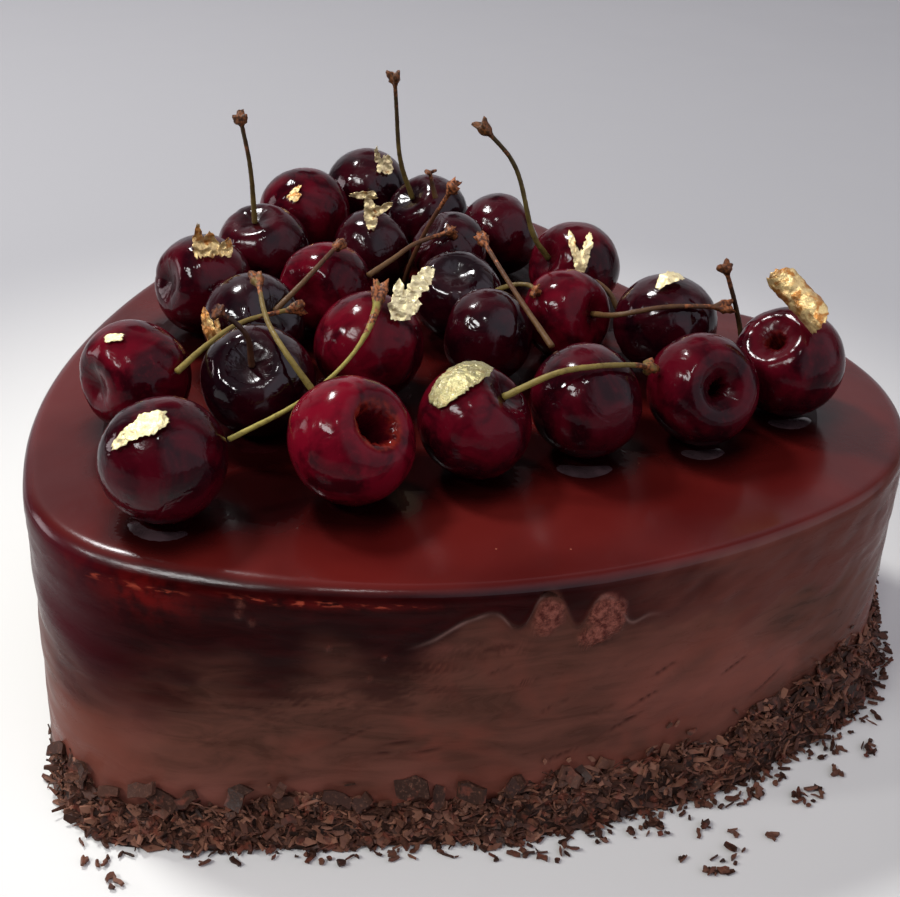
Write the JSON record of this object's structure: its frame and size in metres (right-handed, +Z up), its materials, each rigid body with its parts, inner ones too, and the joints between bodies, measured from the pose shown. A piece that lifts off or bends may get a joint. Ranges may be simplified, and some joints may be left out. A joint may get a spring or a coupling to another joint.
{
  "type": "black forest cake",
  "caption": "Heart-shaped glazed chocolate cake with fresh cherries, their stalks and scraps of gold leaf on top, and chocolate shavings round its foot.",
  "frame": {"origin": "middle of the base, on the surface that the cake stands on", "axes": "+Z up, the heart's tip towards -Y and its notch towards +Y"},
  "size_m": [0.2188, 0.2103, 0.1197],
  "materials": {
    "glaze": "mirror-like dark red-brown chocolate glaze",
    "shavings": "satin dark chocolate shavings",
    "cherry_skin": "wet glossy dark crimson skin",
    "stalk": "matt, green at the foot and brown at the knob",
    "gold_leaf": "crumpled bright metal leaf"
  },
  "bodies": {
    "root": {"cake": "glaze", "cherry_01": "cherry_skin", "cherry_02": "cherry_skin", "cherry_03": "cherry_skin", "cherry_04": "cherry_skin", "cherry_05": "cherry_skin", "cherry_06": "cherry_skin", "cherry_07": "cherry_skin", "cherry_08": "cherry_skin", "cherry_09": "cherry_skin", "cherry_10": "cherry_skin", "cherry_11": "cherry_skin", "cherry_12": "cherry_skin", "cherry_13": "cherry_skin", "cherry_14": "cherry_skin", "cherry_15": "cherry_skin", "cherry_16": "cherry_skin", "cherry_17": "cherry_skin", "cherry_18": "cherry_skin", "cherry_19": "cherry_skin", "cherry_20": "cherry_skin", "cherry_21": "cherry_skin", "cherry_22": "cherry_skin", "cherry_23": "cherry_skin", "cherry_24": "cherry_skin", "stalk_01": "stalk", "stalk_02": "stalk", "stalk_03": "stalk", "stalk_04": "stalk", "stalk_05": "stalk", "stalk_06": "stalk", "stalk_07": "stalk", "stalk_08": "stalk", "stalk_09": "stalk", "stalk_10": "stalk", "stalk_11": "stalk", "stalk_12": "stalk", "stalk_13": "stalk", "stalk_14": "stalk", "stalk_15": "stalk", "stalk_16": "stalk", "stalk_17": "stalk", "gold_leaf_01": "gold_leaf", "gold_leaf_02": "gold_leaf", "gold_leaf_03": "gold_leaf", "gold_leaf_04": "gold_leaf", "gold_leaf_05": "gold_leaf", "gold_leaf_06": "gold_leaf", "gold_leaf_07": "gold_leaf", "gold_leaf_08": "gold_leaf", "gold_leaf_09": "gold_leaf", "gold_leaf_10": "gold_leaf", "gold_leaf_11": "gold_leaf", "gold_leaf_12": "gold_leaf"}
  },
  "joints": []
}
